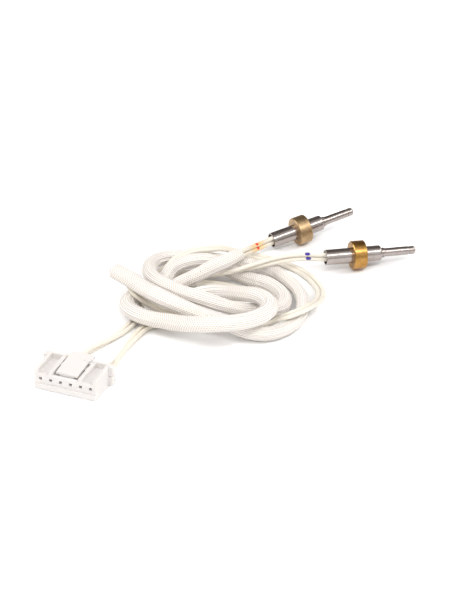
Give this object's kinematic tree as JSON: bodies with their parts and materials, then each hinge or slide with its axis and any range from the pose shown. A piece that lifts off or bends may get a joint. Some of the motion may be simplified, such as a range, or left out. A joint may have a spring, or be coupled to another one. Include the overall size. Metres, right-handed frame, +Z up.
{
  "type": "sensor probe harness",
  "caption": "Pair of stepped metal sensing probes with brass collars, each on a two-wire lead that shares one coiled braided sleeve and ends in a latching white wire-to-board plug.",
  "frame": {"origin": "on the floor under the middle of the box round the two probes, which is measured without the leads, sleeve and plug", "axes": "+X along the longer side of that box, towards the tip of the return probe, and +Z up"},
  "size_m": [0.1424, 0.1276, 0.0164],
  "materials": {
    "probe_steel": "drawn and lightly polished stainless steel",
    "flow_brass": "turned brass, dulled",
    "return_brass": "turned brass, satin",
    "potting": "dark cast resin",
    "tinned_metal": "tin-plated brass",
    "ceramic": "unglazed ceramic",
    "bead": "glassy coated element",
    "nylon": "natural moulded nylon, slightly translucent",
    "sleeve": "white glass-fibre braid",
    "return_insulation": "ivory extruded insulation",
    "flow_insulation": "ivory extruded insulation"
  },
  "bodies": {
    "harness": {"flow_wide_tube": "probe_steel", "flow_tip_tube": "probe_steel", "flow_brass_collar": "flow_brass", "flow_potting_plug": "potting", "flow_crimp_splices": "tinned_metal", "flow_element_leads": "tinned_metal", "flow_ceramic_insulator": "ceramic", "flow_sensor_bead": "bead", "return_wide_tube": "probe_steel", "return_tip_tube": "probe_steel", "return_brass_collar": "return_brass", "return_potting_plug": "potting", "return_crimp_splices": "tinned_metal", "return_element_leads": "tinned_metal", "return_ceramic_insulator": "ceramic", "return_sensor_bead": "bead", "connector_housing": "nylon", "terminal_1": "tinned_metal", "terminal_2": "tinned_metal", "terminal_5": "tinned_metal", "terminal_6": "tinned_metal", "braided_sleeve": "sleeve", "return_wire_a": "return_insulation", "return_wire_b": "return_insulation", "flow_wire_a": "flow_insulation", "flow_wire_b": "flow_insulation"},
    "latch": {"latch_lever": "nylon"}
  },
  "joints": [
    {"name": "latch_rock", "type": "hinge", "parent": "harness", "child": "latch", "pos_m": [-0.09948, -0.09627, 0.0063], "axis": [-0.9239, 0.3827, 0], "range_deg": [0, 8], "stiffness_Nm_per_rad": 0.2}
  ]
}
